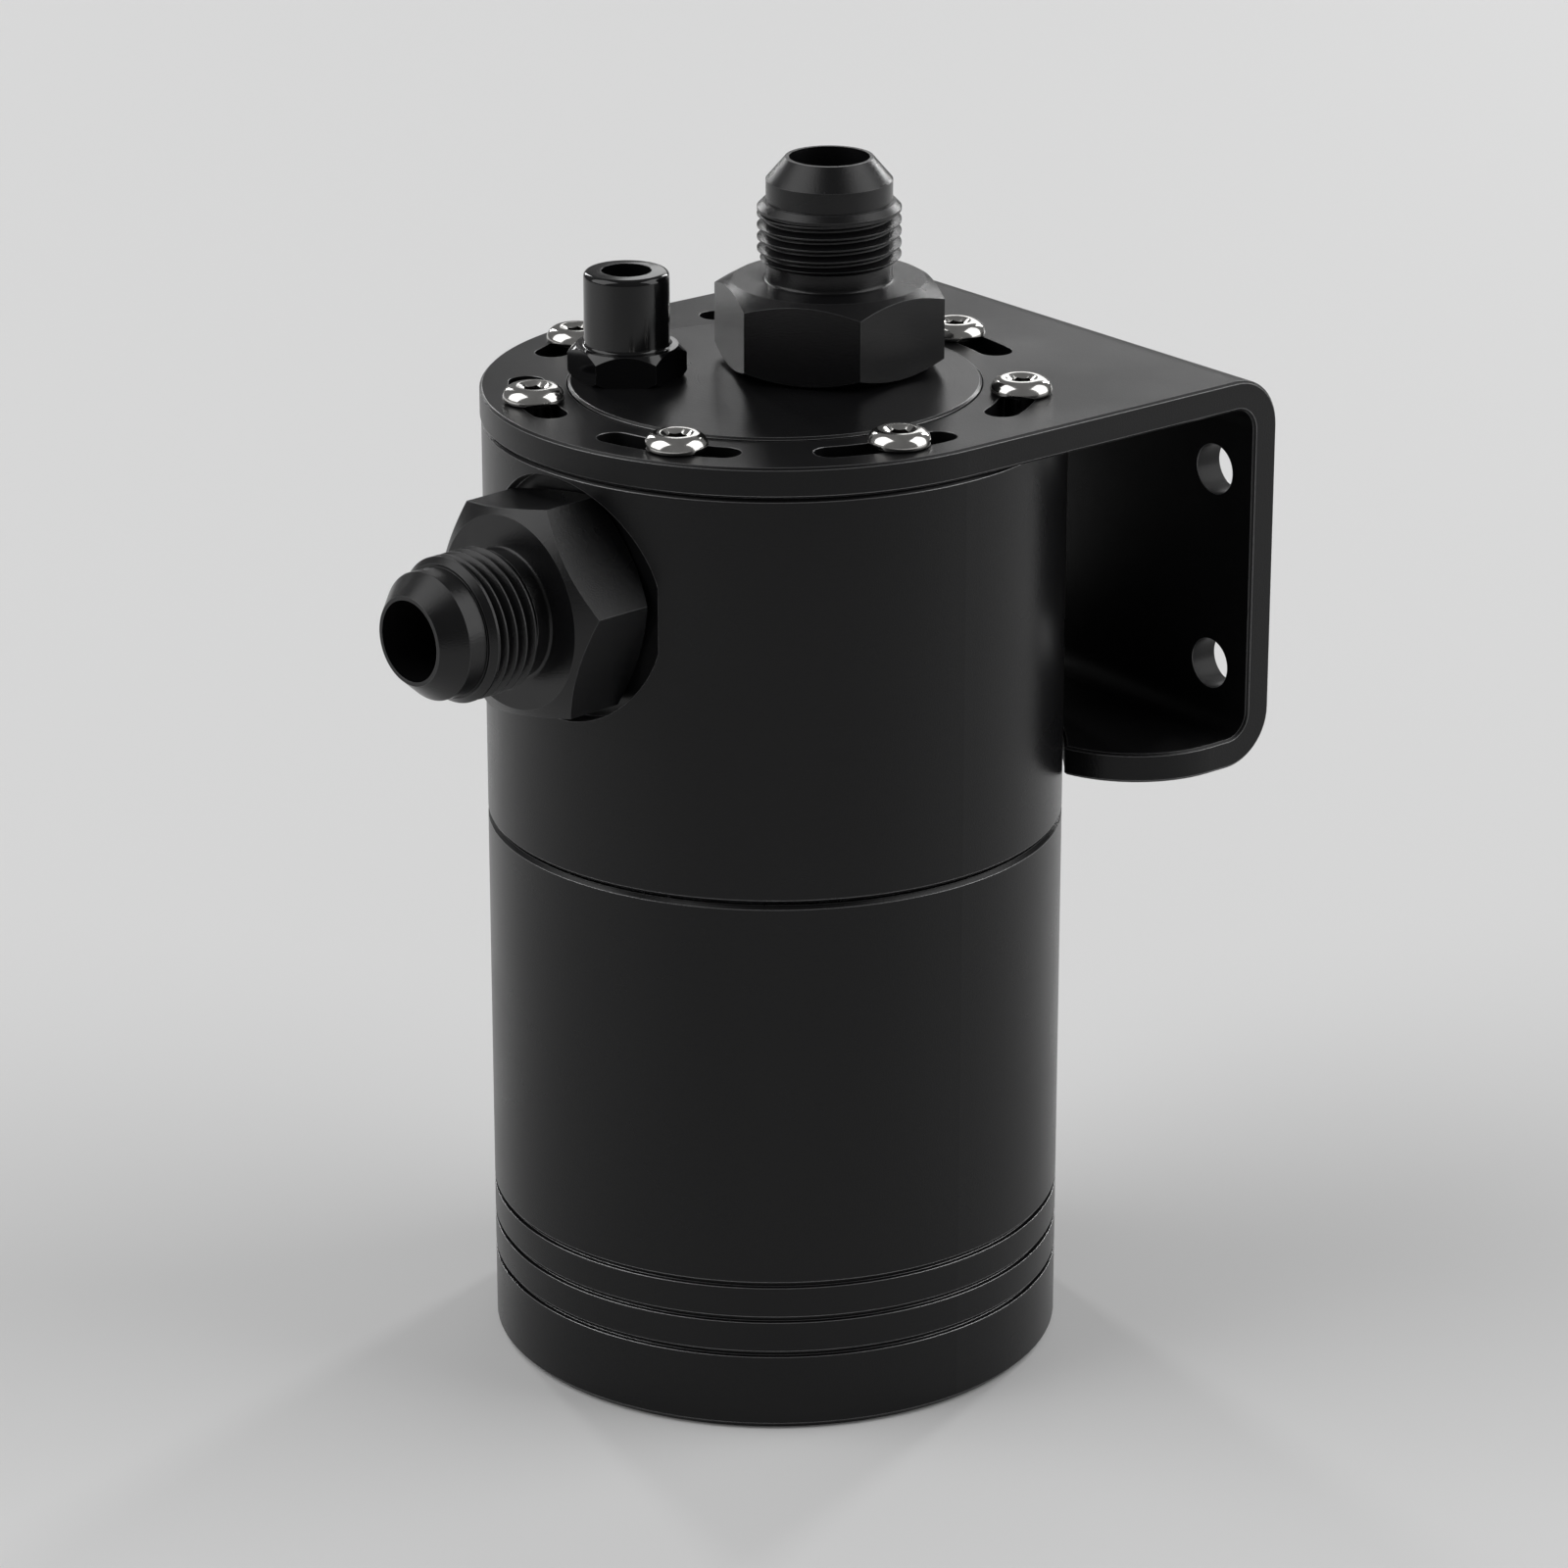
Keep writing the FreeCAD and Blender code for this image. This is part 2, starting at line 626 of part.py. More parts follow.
def flare_fitting(name):
    """37 degree flare union, standing on the end of its stem, hex seat one stem up."""
    core = new_body(name + "_core")
    turned(core, name + "_turned", [
        ("flare_bore", "0"),
        ("flare_thread_radius - flare_stem_chamfer", "0"),
        ("flare_thread_radius", "flare_stem_chamfer"),
        ("flare_thread_radius", "flare_stem - flare_undercut_length"),
        ("flare_undercut_radius", "flare_stem - flare_undercut_length"),
        ("flare_undercut_radius", "flare_stem + flare_fillet"),
        ("flare_land_radius + flare_fillet", "flare_stem + flare_fillet"),
        ("flare_land_radius + flare_fillet", "flare_hex_top"),
        ("flare_land_radius", "flare_hex_top + flare_fillet", "flare_fillet", -1),
        ("flare_land_radius", "flare_thread_low"),
        ("flare_thread_radius - flare_thread_chamfer", "flare_thread_low"),
        ("flare_thread_radius", "flare_thread_low + flare_thread_chamfer"),
        ("flare_thread_radius", "flare_thread_high - flare_thread_chamfer"),
        ("flare_thread_radius - flare_thread_chamfer", "flare_thread_high"),
        ("flare_land_radius", "flare_thread_high"),
        ("flare_land_radius", "flare_cone_low"),
        ("flare_tip_radius", "flare_end"),
        ("flare_bore", "flare_end"),
    ])
    hexed = hexagon(name + "_hex", "flare_hex_corner", "flare_hex_face", "flare_hex_rise",
                    "flare_hex_height", "flare_stem")
    return bored_through(name, core, hexed, "flare_bore", "flare_end")


def stub_fitting():
    """Plain nipple on a small hex, standing on the end of its stem."""
    name = "stub_fitting"
    core = new_body(name + "_core")
    turned(core, name + "_turned", [
        ("stub_bore", "0"),
        ("stub_thread_radius - stub_stem_chamfer", "0"),
        ("stub_thread_radius", "stub_stem_chamfer"),
        ("stub_thread_radius", "stub_stem - stub_undercut_length"),
        ("stub_undercut_radius", "stub_stem - stub_undercut_length"),
        ("stub_undercut_radius", "stub_stem + stub_root"),
        ("stub_tube_radius + stub_root", "stub_stem + stub_root"),
        ("stub_tube_radius + stub_root", "stub_hex_top"),
        ("stub_tube_radius", "stub_hex_top + stub_root", "stub_root", -1),
        ("stub_tube_radius", "stub_end - stub_edge"),
        ("stub_tube_radius - stub_edge", "stub_end", "stub_edge", 1),
        ("stub_bore", "stub_end"),
    ])
    hexed = hexagon(name + "_hex", "stub_hex_corner", "stub_hex_face", "stub_hex_chamfer",
                    "stub_hex_height", "stub_stem")
    return bored_through(name, core, hexed, "stub_bore", "stub_end")


def bored_through(name, core, hexed, radius, length):
    """Join a turned core and its hex, and run the bore through both."""
    joined = doc.addObject("Part::Fuse", name + "_joined")
    joined.Base = core
    joined.Tool = hexed
    drill = doc.addObject("Part::Cylinder", name + "_drill")
    bind(drill, Radius=radius, Height=length)
    fitting = doc.addObject("Part::Cut", name)
    fitting.Base = joined
    fitting.Tool = drill
    fitting.Refine = True
    fitting.Label = name
    return fitting


def filter_collar():
    body = new_body("filter_collar")
    spigot = "screen_radius - screen_wall - thread_play"
    turned(body, "collar_turned", [
        ("collar_bore", "collar_low - screen_overlap"),
        (spigot, "collar_low - screen_overlap"),
        (spigot, "collar_low"),
        ("collar_flange_radius", "collar_low"),
        ("collar_flange_radius", "ceiling"),
        ("collar_radius", "ceiling"),
        ("collar_radius", "collar_top - collar_end_gap"),
        ("collar_bore", "collar_top - collar_end_gap"),
    ])
    return body


def filter_screen():
    """Thin tube with rows of holes."""
    body = new_body("filter_screen")
    turned(body, "screen_turned", [
        ("screen_radius - screen_wall", "screen_low"),
        ("screen_radius", "screen_low"),
        ("screen_radius", "collar_low"),
        ("screen_radius - screen_wall", "collar_low"),
    ])
    drills = [
        bore(body, f"screen_hole_{row}", "screen_hole_radius", "screen_radius + screen_wall",
             z=f"screen_low + (collar_low - screen_low) * {row} / {SCREEN_ROWS + 1}",
             turns=[("y", "90")])
        for row in range(1, SCREEN_ROWS + 1)
    ]
    repeat_round(body, "screen_holes", drills, SCREEN_HOLES)
    return body


def filter_cap():
    body = new_body("filter_cap")
    socket = "screen_radius + thread_play"
    turned(body, "cap_turned", [
        ("0", "screen_low - cap_thickness"),
        ("cap_radius", "screen_low - cap_thickness"),
        ("cap_radius", "screen_low + screen_overlap"),
        (socket, "screen_low + screen_overlap"),
        (socket, "screen_low"),
        ("0", "screen_low"),
    ])
    return body


def baffle_plate():
    """Round splash plate with a ring of drain holes."""
    body = new_body("baffle_plate")
    turned(body, "baffle_turned", [
        ("baffle_centre_radius", "baffle_low"),
        ("housing_bore - baffle_play", "baffle_low"),
        ("housing_bore - baffle_play", "shoulder_height"),
        ("baffle_centre_radius", "shoulder_height"),
    ])
    drain = bore(body, "drain_hole", "drain_radius", "baffle_thickness",
                 "drain_circle", "0", "baffle_low")
    repeat_round(body, "drain_holes", [drain], BAFFLE_HOLES)
    screw = bore(body, "baffle_clearance", "baffle_screw_shank + baffle_play", "baffle_thickness",
                 "baffle_screw_circle * cos(baffle_screw_angle)",
                 "baffle_screw_circle * sin(baffle_screw_angle)", "baffle_low")
    repeat_round(body, "baffle_clearances", [screw], BAFFLE_SCREWS)
    return body


def deflector_spot(side):
    """Place of a deflector screw in the can, from its place on the sheet's tab."""
    across = f"({side} * deflector_screw_across / 2)"
    x = f"{across} * cos(deflector_angle) - tab_screw_along * sin(deflector_angle)"
    y = f"{across} * sin(deflector_angle) + tab_screw_along * cos(deflector_angle)"
    return x, y


def inlet_deflector():
    """Bent sheet hung from the roof in front of the side port."""
    body = new_body("inlet_deflector")
    sheet_metal = body.newObject("PartDesign::Pad", "deflector_sheet")
    sheet_metal.Profile = outline(body, "deflector_section", "YZ_Plane", [
        ("deflector_face - deflector_tab", "ceiling"),
        ("tongue_face - tongue_bend", "ceiling"),
        ("tongue_face", "ceiling - tongue_bend", "tongue_bend", -1),
        ("tongue_face", "deflector_end"),
        ("deflector_face", "deflector_end"),
        ("deflector_face", "tab_low - deflector_bend"),
        ("deflector_face - deflector_bend", "tab_low", "deflector_bend", 1),
        ("deflector_face - deflector_tab", "tab_low"),
    ])
    sheet_metal.Midplane = True
    bind(sheet_metal, Length="2 * deflector_half_width")
    for hand, side in (("left", -1), ("right", 1)):
        bore(body, f"tab_hole_{hand}", "deflector_screw_shank + thread_play", "deflector_gauge",
             f"{side} * deflector_screw_across / 2", "tab_screw_along", "tab_low")
    place(body, turns=[("z", "deflector_angle")])
    return body


parts = [mounting_bracket(), upper_housing(), reservoir()]

bowl_seal = ring("reservoir_seal", "skirt_bore - neck_play / 2 - seal_section", "seal_section")
place(bowl_seal, z="(groove_low + groove_high) / 2")
parts.append(bowl_seal)

for index in range(SCREW_COUNT):
    screw = button_screw(f"bracket_screw_{index + 1}", "bracket_screw")
    angle = f"(90 + clock_angle + {index} * 360 / {SCREW_COUNT})"
    place(screw, f"slot_circle * cos{angle}", f"slot_circle * sin{angle}",
          "plate_top - bracket_screw_reach", [("z", angle)])
    parts.append(screw)

flare_seal = "flare_undercut_radius + flare_seal_section + thread_play"

top_fitting = flare_fitting("top_fitting")
place(top_fitting, "top_port_x", "top_port_y", "boss_top - flare_stem", [("z", "top_hex_angle")])
top_seal = ring("top_fitting_seal", flare_seal, "flare_seal_section")
place(top_seal, "top_port_x", "top_port_y", "boss_top - flare_pocket_depth / 2")

side_fitting = flare_fitting("side_fitting")
place(side_fitting, *on_port_axis("(spot_distance - flare_stem)", "side_hex_angle"))
side_seal = ring("side_fitting_seal", flare_seal, "flare_seal_section")
place(side_seal, *on_port_axis("(spot_distance - flare_pocket_depth / 2)"))

stub = stub_fitting()
place(stub, "stub_x", "stub_y", "boss_top - stub_stem", [("z", "stub_hex_angle")])
stub_seal = ring("stub_seal", "stub_undercut_radius + stub_seal_section + thread_play",
                 "stub_seal_section")
place(stub_seal, "stub_x", "stub_y", "boss_top - stub_pocket_depth / 2")
parts += [top_fitting, top_seal, side_fitting, side_seal, stub, stub_seal]

filter_parts = [filter_collar(), filter_screen(), filter_cap()]
for piece in filter_parts:
    place(piece, "top_port_x", "top_port_y")
parts += filter_parts

parts.append(baffle_plate())
for index in range(BAFFLE_SCREWS):
    screw = button_screw(f"baffle_screw_{index + 1}", "baffle_screw")
    angle = f"(baffle_screw_angle + {index} * 360 / {BAFFLE_SCREWS})"
    place(screw, f"baffle_screw_circle * cos{angle}", f"baffle_screw_circle * sin{angle}",
          "baffle_low + baffle_screw_reach", [("x", "180")])
    parts.append(screw)

parts.append(inlet_deflector())
for index, side in enumerate((-1, 1), start=1):
    screw = button_screw(f"deflector_screw_{index}", "deflector_screw")
    x, y = deflector_spot(side)
    place(screw, x, y, "tab_low + deflector_screw_reach", [("x", "180")])
    parts.append(screw)

doc.recompute()

for item in doc.Objects:
    if "Invalid" in item.State or "Error" in item.State:
        raise RuntimeError(f"{item.Label} did not build")
for piece in parts:
    shape = piece.Shape
    if shape.isNull() or not shape.isValid() or len(shape.Solids) != 1:
        raise RuntimeError(f"{piece.Label} is not one valid solid")

os.makedirs("parts", exist_ok=True)
for piece in parts:
    piece.Shape.exportStep(f"parts/{piece.Label}.step")
    print(piece.Label, round(piece.Shape.Volume, 1))
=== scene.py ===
import json
import math

import bpy
from mathutils import Euler, Matrix, Vector


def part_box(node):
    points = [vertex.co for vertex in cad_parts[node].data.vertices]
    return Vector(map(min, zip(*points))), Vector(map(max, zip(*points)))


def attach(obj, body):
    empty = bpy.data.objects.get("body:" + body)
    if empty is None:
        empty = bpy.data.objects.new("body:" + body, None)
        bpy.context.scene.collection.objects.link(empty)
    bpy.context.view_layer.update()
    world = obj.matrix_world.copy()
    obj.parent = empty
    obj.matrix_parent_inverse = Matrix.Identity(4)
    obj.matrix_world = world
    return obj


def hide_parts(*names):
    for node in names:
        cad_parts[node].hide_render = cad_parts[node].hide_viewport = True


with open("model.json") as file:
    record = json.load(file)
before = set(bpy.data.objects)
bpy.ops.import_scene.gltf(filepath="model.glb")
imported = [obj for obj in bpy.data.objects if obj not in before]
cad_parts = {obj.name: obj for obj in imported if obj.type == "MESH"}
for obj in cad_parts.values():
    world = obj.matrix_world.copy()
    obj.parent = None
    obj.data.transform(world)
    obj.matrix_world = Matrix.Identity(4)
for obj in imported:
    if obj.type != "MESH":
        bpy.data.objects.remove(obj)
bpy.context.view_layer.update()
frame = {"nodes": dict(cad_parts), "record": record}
bpy.ops.object.select_all(action="DESELECT")


# Bracket: one aluminium plate, cut with seven arc slots, bent twice and cut to a
# saddle round the can. It is bead blasted and anodised black, so it is satin all
# over, and its broken edges are painted a little lighter, partly as worn dye and partly as
# painted highlight.
EDGE_SAMPLES = 6
MIX_LOW, MIX_HIGH, MIX_RESULT = 6, 7, 2


def put(tree, kind, sockets, **settings):
    """Add a shader node. A socket gets a value, or a link from another node's output."""
    node = tree.nodes.new(kind)
    for name, value in settings.items():
        setattr(node, name, value)
    for key, value in sockets.items():
        if isinstance(value, bpy.types.NodeSocket):
            tree.links.new(value, node.inputs[key])
        else:
            node.inputs[key].default_value = value
    return node


def start_group(name, inputs, outputs):
    """Shader node group with named sockets. Returns it, its inputs and its exit node."""
    group = bpy.data.node_groups.new(name, "ShaderNodeTree")
    for label, (kind, value) in inputs.items():
        socket = group.interface.new_socket(label, in_out="INPUT",
                                            socket_type="NodeSocket" + kind)
        if value is not None:
            socket.default_value = value
    for label, kind in outputs.items():
        group.interface.new_socket(label, in_out="OUTPUT", socket_type="NodeSocket" + kind)
    return group, group.nodes.new("NodeGroupInput").outputs, group.nodes.new("NodeGroupOutput")


def blasted_skin():
    """Fine pits of bead blasting, and the broad faint clouds in the dye over them."""
    group, given, leave = start_group(
        "blasted_skin",
        {"Vector": ("Vector", None), "Grain Scale": ("Float", 4000.0),
         "Cloud Scale": ("Float", 45.0)},
        {"Grain": "Float", "Cloud": "Float"},
    )
    grain = put(group, "ShaderNodeTexNoise",
                {"Vector": given["Vector"], "Scale": given["Grain Scale"], "Detail": 3.0})
    cloud = put(group, "ShaderNodeTexNoise",
                {"Vector": given["Vector"], "Scale": given["Cloud Scale"], "Detail": 4.0})
    spread = put(group, "ShaderNodeMapRange",
                 {"Value": cloud.outputs["Fac"], "From Min": 0.3, "From Max": 0.7})
    group.links.new(grain.outputs["Fac"], leave.inputs["Grain"])
    group.links.new(spread.outputs["Result"], leave.inputs["Cloud"])
    return group


def edge_mask_and_rounding():
    """Mask of the edges of a piece, and its normals rounded there."""
    group, given, leave = start_group(
        "edge_mask_and_rounding",
        {"Width": ("Float", 0.0002), "Strength": ("Float", 13.0)},
        {"Edge": "Float", "Normal": "Vector"},
    )
    rounded = put(group, "ShaderNodeBevel", {"Radius": given["Width"]}, samples=EDGE_SAMPLES)
    surface = put(group, "ShaderNodeNewGeometry", {})
    match = put(group, "ShaderNodeVectorMath",
                {0: rounded.outputs["Normal"], 1: surface.outputs["Normal"]},
                operation="DOT_PRODUCT")
    turned_away = put(group, "ShaderNodeMath", {0: 1.0, 1: match.outputs["Value"]},
                      operation="SUBTRACT")
    edge = put(group, "ShaderNodeMath", {0: turned_away.outputs[0], 1: given["Strength"]},
               operation="MULTIPLY", use_clamp=True)
    group.links.new(edge.outputs[0], leave.inputs["Edge"])
    group.links.new(rounded.outputs["Normal"], leave.inputs["Normal"])
    return group


BLASTED = blasted_skin()
EDGE_MASK_GROUP = edge_mask_and_rounding()


def start_material(name):
    """Material with an empty Principled shader. Returns it, its tree and the shader."""
    material = bpy.data.materials.new(name)
    material.use_nodes = True
    return material, material.node_tree, material.node_tree.nodes["Principled BSDF"]


def mixed(tree, share, low, high):
    """Colour between two, by a mask. Each is written out or comes from another node."""
    low, high = (colour if isinstance(colour, bpy.types.NodeSocket) else (*colour, 1.0)
                 for colour in (low, high))
    mix = put(tree, "ShaderNodeMix", {"Factor": share, MIX_LOW: low, MIX_HIGH: high},
              data_type="RGBA")
    return mix.outputs[MIX_RESULT]


def between(tree, share, low, high):
    """Value between two, by a mask."""
    spread = put(tree, "ShaderNodeMapRange", {"Value": share, "To Min": low, "To Max": high})
    return spread.outputs["Result"]


def grained_finish(name, colour, edge_wear_and_highlight, roughness, grain_scale, pit_depth, edge_width, gloss,
                   bare):
    """Dark grained skin with a clouded sheen. Its edges are painted lighter, partly as worn dye
    and partly as painted highlight, and bare says how much they shine as bare metal. Returns the
    material, its tree, its shader and its bump."""
    material, tree, shader = start_material(name)
    where = put(tree, "ShaderNodeTexCoord", {}).outputs["Object"]
    skin = put(tree, "ShaderNodeGroup", {}, node_tree=BLASTED)
    tree.links.new(where, skin.inputs["Vector"])
    skin.inputs["Grain Scale"].default_value = grain_scale
    edges = put(tree, "ShaderNodeGroup", {}, node_tree=EDGE_MASK_GROUP)
    edges.inputs["Width"].default_value = edge_width
    bump = put(tree, "ShaderNodeBump", {
        "Strength": 1.0, "Distance": pit_depth, "Height": skin.outputs["Grain"],
        "Normal": edges.outputs["Normal"]})
    # Edges take a lighter colour: partly worn dye, partly painted highlight on the chamfer lines.
    tree.links.new(mixed(tree, edges.outputs["Edge"], colour, edge_wear_and_highlight), shader.inputs["Base Color"])
    tree.links.new(between(tree, edges.outputs["Edge"], 0.0, bare), shader.inputs["Metallic"])
    tree.links.new(between(tree, skin.outputs["Cloud"], *roughness), shader.inputs["Roughness"])
    tree.links.new(bump.outputs["Normal"], shader.inputs["Normal"])
    shader.inputs["Specular IOR Level"].default_value = gloss
    return material, tree, shader, bump


def dress(material, *nodes):
    """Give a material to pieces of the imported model."""
    for node in nodes:
        frame["nodes"][node].material_slots[0].material = material


# The lighter edge colour is partly worn dye and partly painted highlight.
BLACK_DYE = (0.0055, 0.0055, 0.006)
EDGE_WEAR_AND_HIGHLIGHT = (0.38, 0.38, 0.385)
DYE_GLOSS = 0.25

bracket_black = grained_finish(
    "bracket_black", BLACK_DYE, EDGE_WEAR_AND_HIGHLIGHT, roughness=(0.29, 0.36), grain_scale=3800.0,
    pit_depth=0.00003, edge_width=0.00018, gloss=DYE_GLOSS, bare=0.8)[0]
dress(bracket_black, "mounting_bracket")


# Head and bowl: turned from bar, so fine tool lines run round them under the
# blasting, and round the flat top of the boss. Both are anodised with the bracket,
# and the parting line between them has a narrow chamfer on each side.

def turned_lines():
    """Tool lines of a turned piece, round the Z axis of the coordinates it is given."""
    group, given, leave = start_group(
        "turned_lines",
        {"Vector": ("Vector", None), "Line Scale": ("Float", 5000.0)},
        {"Lines": "Float"},
    )
    parts = put(group, "ShaderNodeSeparateXYZ", {"Vector": given["Vector"]})
    flat = put(group, "ShaderNodeCombineXYZ", {"X": parts.outputs["X"], "Y": parts.outputs["Y"]})
    radius = put(group, "ShaderNodeVectorMath", {0: flat.outputs["Vector"]}, operation="LENGTH")
    across = put(group, "ShaderNodeCombineXYZ",
                 {"X": radius.outputs["Value"], "Y": parts.outputs["Z"]})
    lines = put(group, "ShaderNodeTexNoise",
                {"Vector": across.outputs["Vector"], "Scale": given["Line Scale"], "Detail": 2.0},
                noise_dimensions="2D")
    group.links.new(lines.outputs["Fac"], leave.inputs["Lines"])
    return group


TURNED = turned_lines()


def add_turned_lines(tree, shader, bump, line_scale, line_depth, centre=(0, 0, 0),
                     turn=(0, 0, 0)):
    """Put tool lines over a material's blasted grain."""
    where = put(tree, "ShaderNodeTexCoord", {}).outputs["Object"]
    placed = put(tree, "ShaderNodeMapping",
                 {"Vector": where, "Location": centre, "Rotation": turn}, vector_type="TEXTURE")
    lines = put(tree, "ShaderNodeGroup", {}, node_tree=TURNED)
    tree.links.new(placed.outputs["Vector"], lines.inputs["Vector"])
    lines.inputs["Line Scale"].default_value = line_scale
    over = put(tree, "ShaderNodeBump", {
        "Strength": 1.0, "Distance": line_depth, "Height": lines.outputs["Lines"],
        "Normal": bump.outputs["Normal"]})
    tree.links.new(over.outputs["Normal"], shader.inputs["Normal"])


can_black, can_tree, can_shader, can_bump = grained_finish(
    "can_black", BLACK_DYE, EDGE_WEAR_AND_HIGHLIGHT, roughness=(0.26, 0.32), grain_scale=3800.0,
    pit_depth=0.00002, edge_width=0.00018, gloss=DYE_GLOSS, bare=0.8)
add_turned_lines(can_tree, can_shader, can_bump, line_scale=4000.0, line_depth=0.000012)
dress(can_black, "upper_housing", "reservoir")


# Flare fittings: one on the boss, one in the side port. Each is turned from hex bar,
# with a threaded stem below the hex, and above it a neck, a cut thread for the hose
# nut and the 37 degree cone that the hose end seals on. They are blasted and black.
ROUND_STEPS = 128
SMOOTH_BELOW = math.radians(28)
MERGE_WITHIN = 0.000002
CORNER_SPARE = 0.0004
PAST_END = 0.001


def pick(piece):
    """Select a piece alone, and make it the active one."""
    bpy.ops.object.select_all(action="DESELECT")
    bpy.context.view_layer.objects.active = piece
    piece.select_set(True)


def open_mesh(piece):
    """Edit a piece's mesh with all of it selected."""
    pick(piece)
    bpy.ops.object.mode_set(mode="EDIT")
    bpy.ops.mesh.select_all(action="SELECT")


def turn_up(name, stations):
    """Turn a closed solid: a disc drawn up through stations of (radius, height)."""
    (radius, height), *rest = stations
    bpy.ops.mesh.primitive_circle_add(vertices=ROUND_STEPS, radius=radius, fill_type="NGON",
                                      location=(0, 0, height))
    piece = bpy.context.active_object
    piece.name = name
    bpy.ops.object.transform_apply()
    open_mesh(piece)
    for next_radius, next_height in rest:
        rise = (0, 0, next_height - height)
        bpy.ops.mesh.extrude_region_move(TRANSFORM_OT_translate={"value": rise})
        growth = next_radius / radius
        bpy.ops.transform.resize(value=(growth, growth, 1), center_override=(0, 0, 0))
        radius, height = next_radius, next_height
    bpy.ops.mesh.select_all(action="SELECT")
    bpy.ops.mesh.normals_make_consistent(inside=False)
    bpy.ops.object.mode_set(mode="OBJECT")
    return piece


def prism(name, across_flats, low, high):
    """Hexagonal bar with a corner on +X."""
    bpy.ops.mesh.primitive_cylinder_add(
        vertices=6, radius=across_flats / math.sqrt(3), depth=high - low,
        location=(0, 0, (low + high) / 2), rotation=(0, 0, math.radians(30)))
    piece = bpy.context.active_object
    piece.name = name
    bpy.ops.object.transform_apply()
    return piece


def join(piece, operation, other):
    """Boolean of a piece with another solid, which is used up."""
    change = piece.modifiers.new("join", "BOOLEAN")
    change.operation = operation
    change.solver = "EXACT"
    change.object = other
    pick(piece)
    bpy.ops.object.modifier_apply(modifier=change.name)
    bpy.data.objects.remove(other)


def bore_out(piece, radius, top):
    """Drill a piece through, from below its foot to above its top."""
    join(piece, "DIFFERENCE",
         turn_up(piece.name + "_bore", [(radius, -PAST_END), (radius, top + PAST_END)]))


def corner_arc(centre_radius, centre_height, radius, start, end, steps=6):
    """Stations round a fillet or a rounded edge, from one angle to another in degrees."""
    angles = [math.radians(start + (end - start) * step / steps) for step in range(steps + 1)]
    return [(centre_radius + radius * math.cos(angle), centre_height + radius * math.sin(angle))
            for angle in angles]


def hex_body(name, across_flats, foot_radius, face_radius, chamfer_slope, low, high):
    """Hex whose corners are turned down at both ends."""
    over = across_flats / math.sqrt(3) + CORNER_SPARE
    hexed = prism(name, across_flats, low, high)
    blank = turn_up(name + "_blank", [
        (foot_radius, low), (over, low + (over - foot_radius) * chamfer_slope),
        (over, high - (over - face_radius) * chamfer_slope), (face_radius, high)])
    join(hexed, "INTERSECT", blank)
    return hexed


def finish_piece(piece, place, body, node, material):
    """Smooth a piece, stand it in its place and tie it to the frame."""
    piece.matrix_world = place
    pick(piece)
    bpy.ops.object.transform_apply(location=True, rotation=True, scale=True)
    open_mesh(piece)
    bpy.ops.mesh.remove_doubles(threshold=MERGE_WITHIN)
    bpy.ops.mesh.normals_make_consistent(inside=False)
    bpy.ops.object.mode_set(mode="OBJECT")
    bpy.ops.object.shade_smooth_by_angle(angle=SMOOTH_BELOW)
    piece.data.materials.clear()
    piece.data.materials.append(material)
    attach(piece, body)
    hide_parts(node)
    piece.select_set(False)


INCH = 0.0254
FLARE_BORE = 0.0062
FLARE_THREAD = 0.0111
FLARE_FOOT = 0.001
FLARE_STEM = 0.0115
FLARE_RELIEF = 0.003
FLARE_UNDERCUT = 0.00965
FLARE_HEX = 1.25 * INCH
FLARE_HEX_FACE = 0.0149
FLARE_HEX_TOP = FLARE_STEM + 0.0134
HEX_CHAMFER_SLOPE = math.tan(math.radians(30))
FLARE_NECK = 0.00975
FLARE_FILLET = 0.00055
PITCH = INCH / 14
THREAD_DEPTH = 0.00118
THREAD_FLANK_SLOPE = math.tan(math.radians(30))
THREAD_LOW = FLARE_HEX_TOP + 0.003
THREAD_HIGH = THREAD_LOW + 0.0094
THREAD_CHAMFER = 0.0009
THREAD_START = THREAD_HIGH - 0.0013
START_LOW = THREAD_START - 0.0008
START_HIGH = THREAD_START + 0.0001
START_SPARE = 0.0002
GROOVE_SPARE = 0.0001
PAST_GROOVE = 0.004
CONE_LOW = THREAD_HIGH + 0.00335
CONE_TIP = 0.0068
FLARE_END = CONE_LOW + 0.00345


def thread_groove(name, radius, low, high):
    """Helical groove between the crests of a thread, with 60 degree flanks."""
    root_width = PITCH / 8
    wide = root_width + 2 * (THREAD_DEPTH + GROOVE_SPARE) * THREAD_FLANK_SLOPE
    bpy.ops.mesh.primitive_plane_add(
        size=1, location=(radius + (GROOVE_SPARE - THREAD_DEPTH) / 2, 0, low - PITCH),
        rotation=(math.radians(90), 0, 0))
    groove = bpy.context.active_object
    groove.name = name
    groove.scale = (THREAD_DEPTH + GROOVE_SPARE, root_width, 1)
    bpy.ops.object.transform_apply()
    open_mesh(groove)
    bpy.ops.mesh.select_mode(type="VERT")
    bpy.ops.mesh.delete(type="ONLY_FACE")
    bpy.ops.mesh.select_all(action="DESELECT")
    bpy.ops.object.mode_set(mode="OBJECT")
    for vertex in groove.data.vertices:
        vertex.select = vertex.co.x > radius
    bpy.ops.object.mode_set(mode="EDIT")
    bpy.ops.transform.resize(value=(1, 1, wide / root_width), center_override=(0, 0, low - PITCH))
    bpy.ops.object.mode_set(mode="OBJECT")
    screw = groove.modifiers.new("helix", "SCREW")
    screw.axis = "Z"
    screw.angle = math.tau
    screw.screw_offset = PITCH
    screw.iterations = math.ceil((high - low) / PITCH) + 2
    screw.steps = screw.render_steps = ROUND_STEPS
    bpy.ops.object.modifier_apply(modifier=screw.name)
    open_mesh(groove)
    bpy.ops.mesh.fill_holes(sides=4)
    bpy.ops.mesh.select_all(action="SELECT")
    bpy.ops.mesh.normals_make_consistent(inside=False)
    bpy.ops.object.mode_set(mode="OBJECT")
    return groove


